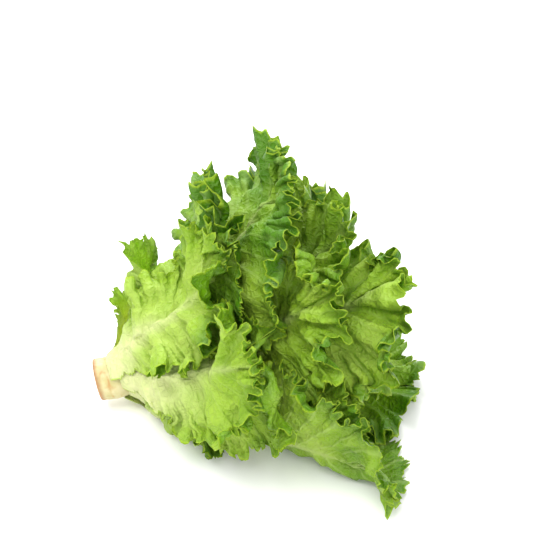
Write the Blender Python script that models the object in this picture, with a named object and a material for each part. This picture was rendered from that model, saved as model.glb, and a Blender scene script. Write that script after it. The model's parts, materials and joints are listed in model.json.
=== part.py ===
"""A head of green leaf lettuce, cut from its root and lying on its side.

The head lies along +X: the cut stem is at the low end of X and the leaves fan out towards the high end.
Each leaf is a thin waved blade in its own object, and the stem that carries them is another.

A point of the head is written in three numbers, measured from a point inside the stem, the apex:
  rho    distance from the apex
  theta  angle away from the head's axis, so a leaf with a larger theta lies further out
  phi    direction round the axis, 0 upwards and positive towards +Y
The leaves lie in layers of falling theta. A leaf never passes the one outside it, nor the surface below.
"""

import math

import bpy
import numpy as np

# Driving dimensions, in metres and degrees
AXIS_RISE = 11.0  # the head's axis climbs this much from the cut stem to the leaf tips
AXIS_HEIGHT = 0.0225  # height of the axis above the surface, at the cut
APEX_BACK = 0.030  # the apex of the leaf cones lies this far behind the cut, on the axis

STEM_RADIUS = 0.0172
STEM_BARE = 0.0125  # stem left bare below the lowest leaf
STEM_CORE = 0.060  # length of the stem, with the core inside the head
STEM_TAPER = 1.2
STEM_SIDES = 28
STEM_CLEARANCE = 0.0004  # gap kept between a leaf's root and the stem
SCAR_DEPTH = 0.0011

# The outer leaves as they lie, outermost first:
# direction round the axis and lean from it in degrees, length, half-width, run in which it leans out
OUTER_LEAVES = (
    (-16.0, 32.0, 0.150, 0.048, 0.060),  # over the front of the top, outermost there
    (66.0, 42.0, 0.096, 0.052, 0.050),  # short leaf that stands off behind the stem
    (-172.0, 34.0, 0.150, 0.060, 0.060),  # under the head
    (-56.0, 37.0, 0.166, 0.060, 0.060),  # broad leaf facing the viewer
    (130.0, 36.0, 0.170, 0.072, 0.070),  # behind, low
    (-119.0, 34.0, 0.088, 0.042, 0.050),  # short leaf whose tip touches the surface in front
    (6.0, 34.5, 0.147, 0.098, 0.060),  # behind the top, with a frilled margin
    (-68.0, 31.0, 0.172, 0.058, 0.070),  # in front, with a drooping margin
    (158.0, 32.0, 0.192, 0.078, 0.080),  # long leaf under the head
    (6.0, 29.0, 0.196, 0.086, 0.080),  # long leaf over the top
    (-106.0, 29.0, 0.222, 0.080, 0.080),  # long leaf in front, on the surface
    (-42.0, 26.0, 0.200, 0.068, 0.080),  # long leaf facing the viewer
    (86.0, 28.0, 0.192, 0.078, 0.080),  # long leaf behind
)
INNER_LEAVES = 10
HEART_LEAVES = 5  # of the inner leaves, the last and smallest
GOLDEN_ANGLE = 137.508  # each inner leaf grows this far round from the one before it
FIRST_INNER_TURN = -8.0
LAST_ROOT = 0.050  # the innermost leaf grows from the core this far from the cut
ROOT_CROWDING = 0.85  # under 1, the inner leaves grow closer together

TOP_OPENING = 17.0  # how far the inner leaves may lean out from the axis, above it
SIDE_OPENING = 32.0  # the same at the sides, where the lying head splays
MOST_OPENING = 80.0
HEART_LEAN = 0.16  # the innermost leaf leans out this share of the opening
INNER_RUN = 0.085

# How length and half-width of the inner leaves change, from the outermost, 0, to the innermost, 1
INNER_LENGTH = ((0.0, 0.35, 0.55, 1.0), (0.198, 0.190, 0.218, 0.135))
INNER_HALF_WIDTH = ((0.0, 0.5, 1.0), (0.076, 0.066, 0.036))

RUFFLE_HEIGHT = 0.0062  # half the height of the waves along a leaf's margin
BROAD_HEIGHT = 0.0050  # half the height of the broad waves that the ruffles ride on
BROAD_COLUMNS = 5.3
OUTWARDS = 0.35  # the waves stand out more than in, by this share of their height
TOOTH = 0.0028  # how far the margin is notched between the ruffles
MARGIN_FLARE = 0.006  # how far a free margin bends outwards
TIP_FLARE = 4.0  # how far a free tip leans out, in degrees
FOLD_HEIGHT = 0.0035  # half the height of the broad folds across a blade

BLADE_THICKNESS = 0.0009
RIB_THICKNESS = 0.0021  # added to the blade at the root of a long leaf's rib, and less on a short leaf
LONG_LEAF = 0.220
RIB_WIDTH = 0.0075
LEAF_CLEARANCE = 0.0005  # gap kept between two leaves
SURFACE_CLEARANCE = 0.0004
RESTING_DEPTH = 0.0024  # what is this close to the surface is pressed flat on it
CORE_RADIUS = 0.0035  # no leaf comes nearer to the axis

# The leaf's outline, as shares of its length
SPINE_SHARE = 0.80  # the rib's veins leave it up to here
WIDEST_SHARE = 0.62
STRAIGHT_SHARE = 0.55  # share of the margin that lies below the widest place
ROOT_HALF_WIDTH = 0.0135
MOST_WRAP = 2.4  # a leaf reaches at most this far round the axis to each side, in radians
ACROSS = (0.34, 0.64, 0.85, 1.0)  # rows of the blade between its rib and its margin
WIDE_COLUMNS = 17
NARROW_COLUMNS = 13

# The map of free space inside the leaves already laid
MAP_TURNS = 480
MAP_RINGS = 300
MAP_REACH = 0.34
SETTLING_SAMPLES = 12
LAYING_SAMPLES = 34
SETTLING_PASSES = 80
LONGEST_STEP = 0.0008


def smooth(t):
    """0 to 1 with level ends."""
    t = np.clip(t, 0.0, 1.0)
    return t * t * (3.0 - 2.0 * t)


def stem_radius(x):
    """Radius of the stem at a distance from the cut: straight, then tapering to the tip of the core."""
    share = np.clip((x - STEM_BARE) / (STEM_CORE - STEM_BARE), 0.0, 1.0)
    return STEM_RADIUS * np.cos(share * math.pi / 2) ** STEM_TAPER


def leaning_out(t):
    """0 to 1, steep at first, then level."""
    return np.sin(np.clip(t, 0.0, 1.0) * math.pi / 2)


def barycentric(count):
    """Weights of points spread evenly over a triangle, its corners among them."""
    first, second = np.meshgrid(np.arange(count), np.arange(count), indexing="ij")
    inside = first + second < count
    first, second = first[inside] / (count - 1), second[inside] / (count - 1)
    return np.stack([1.0 - first - second, first, second], axis=1)


class Head:
    """Turns rho, theta and phi into a place and back, and knows where the stem and the surface are."""

    def __init__(self):
        rise = math.radians(AXIS_RISE)
        self.along = np.array([math.cos(rise), 0.0, math.sin(rise)])
        self.up = np.array([-math.sin(rise), 0.0, math.cos(rise)])
        self.side = np.array([0.0, 1.0, 0.0])
        self.cut = np.array([0.0, 0.0, AXIS_HEIGHT])
        self.apex = self.cut - APEX_BACK * self.along
        x = np.linspace(0.0, STEM_CORE, 120)
        self.stem_rho = np.hypot(x + APEX_BACK, stem_radius(x))
        self.stem_theta = np.arctan2(stem_radius(x), x + APEX_BACK)

    def place(self, rho, theta, phi):
        """The point at rho, theta and phi."""
        outwards = np.cos(phi)[..., None] * self.up + np.sin(phi)[..., None] * self.side
        lean = np.cos(theta)[..., None] * self.along + np.sin(theta)[..., None] * outwards
        return self.apex + rho[..., None] * lean

    def locate(self, points):
        """Rho, theta and phi of points."""
        away = points - self.apex
        along, up, side = away @ self.along, away @ self.up, away @ self.side
        out = np.hypot(up, side)
        return np.hypot(along, out), np.arctan2(out, along), np.arctan2(side, up)

    def inner_limit(self, rho):
        """Theta that a leaf stays outside: the stem's surface, and past it the room round the axis."""
        stem = np.interp(rho, self.stem_rho, self.stem_theta, right=0.0)
        return np.maximum(stem, np.arcsin(CORE_RADIUS / np.maximum(rho, 2 * CORE_RADIUS)))

    def surface_limit(self, rho, phi):
        """Theta at which a leaf meets the surface that the head lies on."""
        along_part = self.along[2]
        out_part = np.cos(phi) * self.up[2]
        size = np.hypot(along_part, out_part)
        drop = (SURFACE_CLEARANCE - self.apex[2]) / (rho * size)
        meets = np.arctan2(out_part, along_part) + np.arccos(np.clip(drop, -1.0, 1.0))
        return np.minimum(meets, math.radians(MOST_OPENING))

    def opening(self, phi):
        """Full lean of the inner leaves, in radians: least above the axis, most at the sides."""
        return np.radians(TOP_OPENING + (SIDE_OPENING - TOP_OPENING) * np.abs(np.sin(phi)) ** 1.4)


def lowest_beside(values):
    """The lowest of each cell's value and its neighbours', on a map that closes on itself round the axis."""
    low = np.minimum(values, np.minimum(np.roll(values, 1, 0), np.roll(values, -1, 0)))
    found = low.copy()
    found[:, 1:] = np.minimum(found[:, 1:], low[:, :-1])
    found[:, :-1] = np.minimum(found[:, :-1], low[:, 1:])
    return found


class FreeSpace:
    """A map over phi and rho of the theta that is still free inside the leaves already laid."""

    def __init__(self, head):
        turns = (np.arange(MAP_TURNS) + 0.5) / MAP_TURNS * 2 * math.pi - math.pi
        rings = (np.arange(MAP_RINGS) + 0.5) / MAP_RINGS * MAP_REACH
        phi, rho = np.meshgrid(turns, rings, indexing="ij")
        self.surface = head.surface_limit(rho, phi)
        self.limit = self.surface.copy()
        self.widen()

    def widen(self):
        """Each cell of the widened maps holds the lowest value of its own cell and of those beside it."""
        self.widened = lowest_beside(self.limit)
        self.uncovered = lowest_beside(self.limit == self.surface)

    def cell(self, rho, phi):
        """The map's cell that holds each point."""
        turn = np.floor((phi / (2 * math.pi) + 0.5) * MAP_TURNS).astype(int) % MAP_TURNS
        ring = np.clip(np.floor(rho / MAP_REACH * MAP_RINGS).astype(int), 0, MAP_RINGS - 1)
        return turn, ring

    def read(self, rho, phi):
        """The limit at each point."""
        return self.widened[self.cell(rho, phi)]

    def bare(self, rho, phi):
        """Whether no leaf lies between each point and the surface."""
        return self.uncovered[self.cell(rho, phi)]

    def lay(self, rho, phi, theta):
        """Lowers the map to the inner face of a leaf."""
        np.minimum.at(self.limit, self.cell(rho, phi), theta)
        self.widen()


class Leaf:
    """One leaf: where it grows, its flat outline, and the blade bent into place."""

    def __init__(self, number, head):
        self.head = head
        draw = np.random.default_rng(1000 + number)
        total = len(OUTER_LEAVES) + INNER_LEAVES
        self.root = STEM_BARE + (LAST_ROOT - STEM_BARE) * (number / (total - 1)) ** ROOT_CROWDING
        if number < len(OUTER_LEAVES):
            turn, lean, self.length, self.half_width, self.run = OUTER_LEAVES[number]
            self.lean = math.radians(lean)
            self.share_of_opening = None
        else:
            age = (number - len(OUTER_LEAVES)) / (INNER_LEAVES - 1)
            turn = FIRST_INNER_TURN + (number - len(OUTER_LEAVES)) * GOLDEN_ANGLE
            self.share_of_opening = 1.0 - (1.0 - HEART_LEAN) * age
            self.length = float(np.interp(age, *INNER_LENGTH)) * draw.uniform(0.95, 1.05)
            self.half_width = float(np.interp(age, *INNER_HALF_WIDTH))
            self.run = INNER_RUN
            self.lean = self.share_of_opening * float(head.opening(math.radians(turn)))
        self.turn = math.radians(turn)
        self.columns = WIDE_COLUMNS if self.length * self.half_width > 0.0095 else NARROW_COLUMNS
        self.fold_phase = draw.uniform(0.0, 2 * math.pi, 2)
        self.swing = self.waves(draw)
        self.root_rho = math.hypot(self.root + APEX_BACK, float(stem_radius(self.root)))
        self.root_theta = float(head.inner_limit(self.root_rho))

    def waves(self, draw):
        """Height of the margin's waves at each column, between about -1 and 1."""
        column = np.arange(-self.columns, self.columns + 1)
        ruffle = np.cos(math.pi * column) * draw.uniform(0.7, 1.3, len(column))
        broad = np.sin(2 * math.pi * column / BROAD_COLUMNS + draw.uniform(0.0, 2 * math.pi))
        return ruffle, broad

    def outline(self, share):
        """Place along the leaf and half-width of the margin, where share runs from root to tip."""
        low = np.clip(share / STRAIGHT_SHARE, 0.0, 1.0)
        cap = np.clip((share - STRAIGHT_SHARE) / (1.0 - STRAIGHT_SHARE), 0.0, 1.0) * math.pi / 2
        along = self.length * (WIDEST_SHARE * low + (1.0 - WIDEST_SHARE) * np.sin(cap))
        widening = low ** 1.25 * (1.0 + 0.18 * np.sin(math.pi * low))
        width = (ROOT_HALF_WIDTH + (self.half_width - ROOT_HALF_WIDTH) * widening) * np.cos(cap)
        return along, width

    def flat(self):
        """Place along and across the flat blade of each vertex, margin share, row share and column."""
        count = self.columns
        rows = np.array(ACROSS)
        column = np.arange(-count, count + 1)
        share = 1.0 - np.abs(column) / count
        margin_along, margin_width = self.outline(share)
        start = SPINE_SHARE * self.length * share
        reach = rows * (1.0 - rows ** 6 * TOOTH / self.half_width * (column % 2)[:, None])
        along = start[:, None] + (margin_along - start)[:, None] * reach
        across = (np.sign(column) * margin_width)[:, None] * reach
        spine = np.arange(count + 1)
        none = np.zeros(count + 1)
        along = np.concatenate([SPINE_SHARE * self.length * spine / count, along.ravel()])
        across = np.concatenate([none, across.ravel()])
        share = np.concatenate([spine / count, np.repeat(share, len(rows))])
        row = np.concatenate([none, np.tile(rows, len(column))])
        column = np.concatenate([spine - count, np.repeat(column, len(rows))])
        return along, across, share, row, column

    def triangles(self):
        """Triangles of the blade and the vertices round it. The spine's vertices come first, root to tip."""
        count, rows = self.columns, len(ACROSS)

        def vertex(column, row):
            if row == 0:
                return count - abs(column)
            return count + 1 + (column + count) * rows + row - 1

        found = []
        for column in range(-count, count):
            for row in range(rows):
                a, b = vertex(column, row), vertex(column + 1, row)
                c, d = vertex(column + 1, row + 1), vertex(column, row + 1)
                if a != b:
                    found.append((a, b, c))
                found.append((a, c, d))
        rim = [vertex(column, rows) for column in range(-count, count + 1)]
        rim += [vertex(count, row) for row in range(rows - 1, -1, -1)]
        rim += [vertex(-count, row) for row in range(1, rows)]
        return np.array(found), rim

    def half_thickness(self, along, across):
        """Half the blade's thickness, with a rib that is thickest at the root and runs out to the tip."""
        left = 1.0 - along / self.length
        rib = RIB_THICKNESS * self.length / LONG_LEAF * left ** 1.5 * np.exp(-((across / (RIB_WIDTH * (0.4 + 0.6 * left))) ** 2))
        return (BLADE_THICKNESS + rib) / 2

    def wanted_theta(self, rho, phi, along, share, row, column):
        """The lean that the blade takes where nothing presses on it."""
        full = self.lean
        if self.share_of_opening is not None:
            full = self.share_of_opening * self.head.opening(phi)
        theta = self.root_theta + (full - self.root_theta) * leaning_out((rho - self.root_rho) / self.run)
        run = along / self.length
        theta = theta + math.radians(TIP_FLARE) * run ** 3
        ruffle, broad = (wave[column + self.columns] for wave in self.swing)
        free = smooth((share - 0.15) / 0.3)
        folds = np.sin(9.0 * run + self.fold_phase[0]) * np.sin(2.5 * (phi - self.turn) + self.fold_phase[1])
        lift = FOLD_HEIGHT * folds * smooth(run / 0.4) + free * MARGIN_FLARE * row ** 4
        waves = RUFFLE_HEIGHT * (ruffle + OUTWARDS) * row ** 3 + BROAD_HEIGHT * (broad + OUTWARDS) * row ** 2
        lift = lift + free * waves
        return theta + lift / rho

    def shape(self, space):
        """The closed blade's vertices and faces, settled between the stem and what lies outside it."""
        along, across, share, row, column = self.flat()
        faces, rim = self.triangles()
        rho = self.root_rho + along
        opened = leaning_out((rho - self.root_rho) / self.run)
        radius = rho * np.sin(self.root_theta + (self.lean - self.root_theta) * opened)
        phi = self.turn + across / np.maximum(radius, self.half_width / MOST_WRAP)
        half = self.half_thickness(along, across)
        theta = self.wanted_theta(rho, phi, along, share, row, column)
        theta = np.minimum(theta, space.read(rho, phi) - (1.3 * half + LEAF_CLEARANCE) / rho)
        weights = barycentric(SETTLING_SAMPLES)
        pull = weights / (weights ** 2).sum(1, keepdims=True)
        for _ in range(SETTLING_PASSES):
            points = self.both_faces(self.head.place(rho, theta, phi), half, faces)
            for side in points:
                at_rho, at_theta, at_phi = self.head.locate(np.einsum("sk,fkd->fsd", weights, side[faces]))
                over = at_theta - space.read(at_rho, at_phi) + LEAF_CLEARANCE / at_rho
                under = self.head.inner_limit(at_rho) + STEM_CLEARANCE / at_rho - at_theta
                for amount, sign in ((over, -1.0), (under, 1.0)):
                    amount = np.clip(amount, 0.0, LONGEST_STEP / at_rho)
                    moved = np.zeros_like(theta)
                    np.maximum.at(moved, faces.ravel(), (amount[..., None] * pull).max(1).ravel())
                    theta = theta + sign * moved
        points = self.both_faces(self.head.place(rho, theta, phi), half, faces)
        self.press(points, faces, space)
        weights = barycentric(LAYING_SAMPLES)
        for side in points:
            at_rho, at_theta, at_phi = self.head.locate(np.einsum("sk,fkd->fsd", weights, side[faces]))
            space.lay(at_rho, at_phi, at_theta)
        return points, faces, rim

    def press(self, sides, faces, space):
        """Lays the blade's lower face flat on the surface where it nearly touches it, with no leaf between."""
        weights = barycentric(SETTLING_SAMPLES)
        for near, far in (sides, sides[::-1]):
            rho, _, phi = self.head.locate(np.einsum("sk,fkd->fsd", weights, near[faces]))
            blocked = np.zeros(len(near), bool)
            blocked[faces[~space.bare(rho, phi).all(axis=1)]] = True
            low = ~blocked & (near[:, 2] < far[:, 2]) & (near[:, 2] < RESTING_DEPTH)
            near[low, 2] = 0.0

    def both_faces(self, middle, half, faces):
        """The vertices of the blade's two faces, half the thickness to each side of the middle."""
        corners = middle[faces]
        normals = np.cross(corners[:, 1] - corners[:, 0], corners[:, 2] - corners[:, 0])
        summed = np.zeros_like(middle)
        for corner in range(3):
            np.add.at(summed, faces[:, corner], normals)
        summed /= np.linalg.norm(summed, axis=1, keepdims=True)
        return middle + summed * half[:, None], middle - summed * half[:, None]


def blade_mesh(name, sides, faces, rim):
    """A closed blade, with both faces split into triangles alike."""
    points = np.concatenate(sides)
    count = len(sides[0])
    closed = [(a, b, c) for a, b, c in faces.tolist()]
    closed += [(c + count, b + count, a + count) for a, b, c in faces.tolist()]
    for start, end in zip(rim, rim[1:] + rim[:1]):
        closed.append((start, end, end + count))
        closed.append((start, end + count, start + count))
    mesh = bpy.data.meshes.new(name)
    mesh.from_pydata(points.tolist(), [], closed)
    return mesh


def stem_mesh(head):
    """The cut stem: a short cylinder with the hollows of old leaf scars, and the core it ends in."""
    rings = np.concatenate([[0.0, 0.0012, 0.004, 0.007, 0.010], np.linspace(0.0135, 0.056, 7)])
    phi = np.arange(STEM_SIDES) / STEM_SIDES * 2 * math.pi
    points = []
    for x in rings:
        scars = np.zeros(STEM_SIDES)
        for number in range(1, 7):
            away = (phi + math.radians(GOLDEN_ANGLE) * number + math.pi) % (2 * math.pi) - math.pi
            across, down = away / 0.55, (x - 0.0022 * number) / 0.0045
            scars += np.exp(-(across ** 2 + down ** 2))
        bevel = 0.0012 * max(0.0, 1.0 - x / 0.0012)
        bare = 1.0 - smooth((x - 0.007) / 0.006)
        radius = stem_radius(x) - bevel - SCAR_DEPTH * bare * np.minimum(scars, 1.0)
        out = np.cos(phi)[:, None] * head.up + np.sin(phi)[:, None] * head.side
        points.append(head.cut + x * head.along + radius[:, None] * out)
    points = np.concatenate(points)
    tip = head.cut + STEM_CORE * head.along
    faces = []
    for ring in range(len(rings) - 1):
        for side in range(STEM_SIDES):
            a, b = ring * STEM_SIDES + side, ring * STEM_SIDES + (side + 1) % STEM_SIDES
            faces.append((b, a, a + STEM_SIDES, b + STEM_SIDES))
    last = (len(rings) - 1) * STEM_SIDES
    end = len(points)
    faces += [(last + (side + 1) % STEM_SIDES, last + side, end) for side in range(STEM_SIDES)]
    faces.append(tuple(range(STEM_SIDES)))
    mesh = bpy.data.meshes.new("stem")
    mesh.from_pydata(np.vstack([points, tip]).tolist(), [], faces)
    return mesh


def finish_of(name, colour, roughness):
    """A plain non-metal finish."""
    material = bpy.data.materials.new(name)
    material.use_nodes = True
    shader = material.node_tree.nodes["Principled BSDF"]
    shader.inputs["Base Color"].default_value = (*colour, 1.0)
    shader.inputs["Roughness"].default_value = roughness
    shader.inputs["Metallic"].default_value = 0.0
    return material


def leaf_name(number):
    """outer_leaf_01 and on, then inner_leaf_01, then heart_leaf_01."""
    inner = len(OUTER_LEAVES)
    heart = inner + INNER_LEAVES - HEART_LEAVES
    if number < inner:
        return f"outer_leaf_{number + 1:02d}"
    if number < heart:
        return f"inner_leaf_{number - inner + 1:02d}"
    return f"heart_leaf_{number - heart + 1:02d}"


def main():
    for old in list(bpy.data.objects):
        bpy.data.objects.remove(old)
    head = Head()
    space = FreeSpace(head)
    finishes = {
        "outer": finish_of("outer leaf green", (0.33, 0.50, 0.11), 0.5),
        "inner": finish_of("inner leaf green", (0.25, 0.44, 0.06), 0.45),
        "heart": finish_of("heart leaf yellow-green", (0.42, 0.55, 0.12), 0.45),
    }
    pieces = [("stem", stem_mesh(head), finish_of("cut stem cream", (0.80, 0.74, 0.50), 0.6))]
    for number in range(len(OUTER_LEAVES) + INNER_LEAVES):
        sides, faces, rim = Leaf(number, head).shape(space)
        name = leaf_name(number)
        pieces.append((name, blade_mesh(name, sides, faces, rim), finishes[name.split("_")[0]]))
    low = np.min([np.min([v.co for v in mesh.vertices], axis=0) for _, mesh, _ in pieces], axis=0)
    high = np.max([np.max([v.co for v in mesh.vertices], axis=0) for _, mesh, _ in pieces], axis=0)
    for name, mesh, finish in pieces:
        piece = bpy.data.objects.new(name, mesh)
        bpy.context.scene.collection.objects.link(piece)
        piece.location = (-(low[0] + high[0]) / 2, -(low[1] + high[1]) / 2, -low[2])
        mesh.materials.append(finish)
        mesh.shade_smooth()
        mesh.set_sharp_from_angle(angle=math.radians(40.0))


main()
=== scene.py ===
"""Looks of a head of green leaf lettuce, cut from its root and lying on its side.

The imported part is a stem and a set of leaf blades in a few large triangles. This script settles the same leaves
again, from the same driving dimensions, and takes each one as the cage of a fine blade: a smooth surface through
the cage, with pleats, blisters, a curled edge, two sizes of frill, teeth, a rib and veins added to it. Each fine
blade takes the place of the node it was made from.

A point of the head is written in three numbers, measured from the apex, a point inside the stem:
  rho    distance from the apex
  theta  angle away from the head's axis, so a leaf with a larger theta lies further out
  phi    direction round the axis, 0 upwards and positive towards +Y
"""

from __future__ import annotations

import json
import logging
import math
from dataclasses import dataclass, field
from enum import Enum

import bpy
import numpy as np
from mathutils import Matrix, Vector

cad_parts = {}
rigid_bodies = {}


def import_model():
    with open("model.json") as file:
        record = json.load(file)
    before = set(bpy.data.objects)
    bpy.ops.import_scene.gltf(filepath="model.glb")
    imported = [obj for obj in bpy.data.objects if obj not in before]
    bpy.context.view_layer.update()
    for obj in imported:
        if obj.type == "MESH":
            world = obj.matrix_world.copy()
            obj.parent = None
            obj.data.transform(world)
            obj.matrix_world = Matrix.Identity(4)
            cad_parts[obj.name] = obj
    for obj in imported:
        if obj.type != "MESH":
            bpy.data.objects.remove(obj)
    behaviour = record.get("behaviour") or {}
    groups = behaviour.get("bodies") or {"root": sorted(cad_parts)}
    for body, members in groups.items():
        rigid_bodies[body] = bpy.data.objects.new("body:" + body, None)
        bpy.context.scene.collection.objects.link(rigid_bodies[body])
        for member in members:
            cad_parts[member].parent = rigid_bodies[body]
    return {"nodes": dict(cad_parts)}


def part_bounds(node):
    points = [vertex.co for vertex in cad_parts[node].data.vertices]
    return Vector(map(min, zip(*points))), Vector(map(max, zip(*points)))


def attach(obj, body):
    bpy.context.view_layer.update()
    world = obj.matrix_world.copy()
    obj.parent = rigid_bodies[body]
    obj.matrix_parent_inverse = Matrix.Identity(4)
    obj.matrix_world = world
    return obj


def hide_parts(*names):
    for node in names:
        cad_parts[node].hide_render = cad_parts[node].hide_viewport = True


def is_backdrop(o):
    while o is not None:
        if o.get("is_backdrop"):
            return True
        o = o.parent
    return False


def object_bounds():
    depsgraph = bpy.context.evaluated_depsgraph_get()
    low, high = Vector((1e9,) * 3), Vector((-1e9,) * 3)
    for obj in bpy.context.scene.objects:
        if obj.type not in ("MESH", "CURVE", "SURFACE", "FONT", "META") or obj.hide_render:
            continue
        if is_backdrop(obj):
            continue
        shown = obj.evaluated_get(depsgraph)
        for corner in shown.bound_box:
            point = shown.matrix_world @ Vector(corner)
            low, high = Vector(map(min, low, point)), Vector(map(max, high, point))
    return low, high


LOG = logging.getLogger("lettuce")
Array = np.ndarray
Colour = tuple[float, float, float]
Socket = bpy.types.NodeSocket

# The leaves as they lie, outermost first, as in the part's source:
# direction round the axis and lean from it in degrees, length, half-width, run in which it leans out
OUTER_LEAVES = (
    (-16.0, 32.0, 0.150, 0.048, 0.060),
    (66.0, 42.0, 0.096, 0.052, 0.050),
    (-172.0, 34.0, 0.150, 0.060, 0.060),
    (-56.0, 37.0, 0.166, 0.060, 0.060),
    (130.0, 36.0, 0.170, 0.072, 0.070),
    (-119.0, 34.0, 0.088, 0.042, 0.050),
    (6.0, 34.5, 0.147, 0.098, 0.060),
    (-68.0, 31.0, 0.172, 0.058, 0.070),
    (158.0, 32.0, 0.192, 0.078, 0.080),
    (6.0, 29.0, 0.196, 0.086, 0.080),
    (-106.0, 29.0, 0.222, 0.080, 0.080),
    (-42.0, 26.0, 0.200, 0.068, 0.080),
    (86.0, 28.0, 0.192, 0.078, 0.080),
)
INNER_LEAVES = 10
HEART_LEAVES = 5
GOLDEN_ANGLE = 137.508
ACROSS = (0.34, 0.64, 0.85, 1.0)  # rows of the cage between a leaf's rib and its margin

PHOTO_SIDE = 533  # pixels along each side of the photograph
CUT_PIXEL = (97.6, 380.4)  # where the middle of the cut shows in the photograph


def smooth(t: Array) -> Array:
    """0 to 1 with level ends."""
    t = np.clip(t, 0.0, 1.0)
    return t * t * (3.0 - 2.0 * t)


def leaning_out(t: Array) -> Array:
    """0 to 1 as a quarter of a sine wave, steep at first, then level."""
    return np.sin(np.clip(t, 0.0, 1.0) * math.pi / 2)


def noise_line(seed: int, places: Array, spacing: float) -> Array:
    """Smooth random values along a line: random numbers at even places, joined by smooth steps.

    Args:
        seed: Which row of random numbers.
        places: Distances along the line.
        spacing: Distance between two random numbers.

    Returns:
        A value from -1 to 1 at each place.
    """
    at = (places - places.min()) / spacing
    knots = np.random.default_rng(seed).uniform(-1.0, 1.0, int(at.max()) + 3)
    low = np.floor(at).astype(int)
    blend = smooth(at - low)
    return knots[low] * (1.0 - blend) + knots[low + 1] * blend


def between(net: Array, columns: tuple[Array, Array], row: Array, shares: tuple[Array, Array]) -> Array:
    """A value read between four places of a net, in proportion to how near each of them is.

    Args:
        net: The values.
        columns: The columns before and after each point.
        row: The row before each point.
        shares: How far each point lies from the first column to the second, and from this row to the next.

    Returns:
        A value at each point.
    """
    (i, k), (s, t) = columns, shares
    near = net[i, row] * (1.0 - s) + net[k, row] * s
    far = net[i, row + 1] * (1.0 - s) + net[k, row + 1] * s
    return near * (1.0 - t) + far * t


def noise_sheet(seed: int, x: Array, y: Array, spacing: float) -> Array:
    """Smooth random values over a sheet: random numbers on a square net, joined by smooth steps both ways.

    Args:
        seed: Which net of random numbers.
        x: First coordinate of each point.
        y: Second coordinate of each point.
        spacing: Width of the net's squares.

    Returns:
        A value from -1 to 1 at each point.
    """
    x, y = (x - x.min()) / spacing, (y - y.min()) / spacing
    net = np.random.default_rng(seed).uniform(-1.0, 1.0, (int(x.max()) + 3, int(y.max()) + 3))
    i, j = np.floor(x).astype(int), np.floor(y).astype(int)
    return between(net, (i, i + 1), j, (smooth(x - i), smooth(y - j)))


def unit(vectors: Array) -> Array:
    """The same directions with length 1."""
    return vectors / np.maximum(np.linalg.norm(vectors, axis=-1, keepdims=True), 1e-12)


def blend(first: Array, second: Array, share: Array) -> Array:
    """The first colour moved towards the second by a share."""
    return first + (second - first) * share[..., None]


def beside(values: Array, axis: int) -> tuple[Array, Array]:
    """The values one place before and one place after along an axis, where the end values repeat."""
    padded = np.concatenate([values.take([0], axis), values, values.take([-1], axis)], axis)
    count = values.shape[axis]
    return padded.take(range(count), axis), padded.take(range(2, count + 2), axis)


def blurred(values: Array, passes: int) -> Array:
    """Each value averaged with its neighbours along both axes of a grid, as often as asked."""
    for _ in range(passes):
        for axis in (0, 1):
            before, after = beside(values, axis)
            values = 0.5 * values + 0.25 * (before + after)
    return values


def spread(values: Array, columns: int, rows: int) -> Array:
    """The highest value within some columns and rows of each place on a grid."""
    for axis, reach in ((0, columns), (1, rows)):
        for _ in range(reach):
            values = np.maximum(values, np.maximum(*beside(values, axis)))
    return values


def barycentric(count: int) -> Array:
    """Weights of points spread evenly over a triangle, its corners among them."""
    first, second = np.meshgrid(np.arange(count), np.arange(count), indexing="ij")
    inside = first + second < count
    first, second = first[inside] / (count - 1), second[inside] / (count - 1)
    return np.stack([1.0 - first - second, first, second], axis=1)


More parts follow.
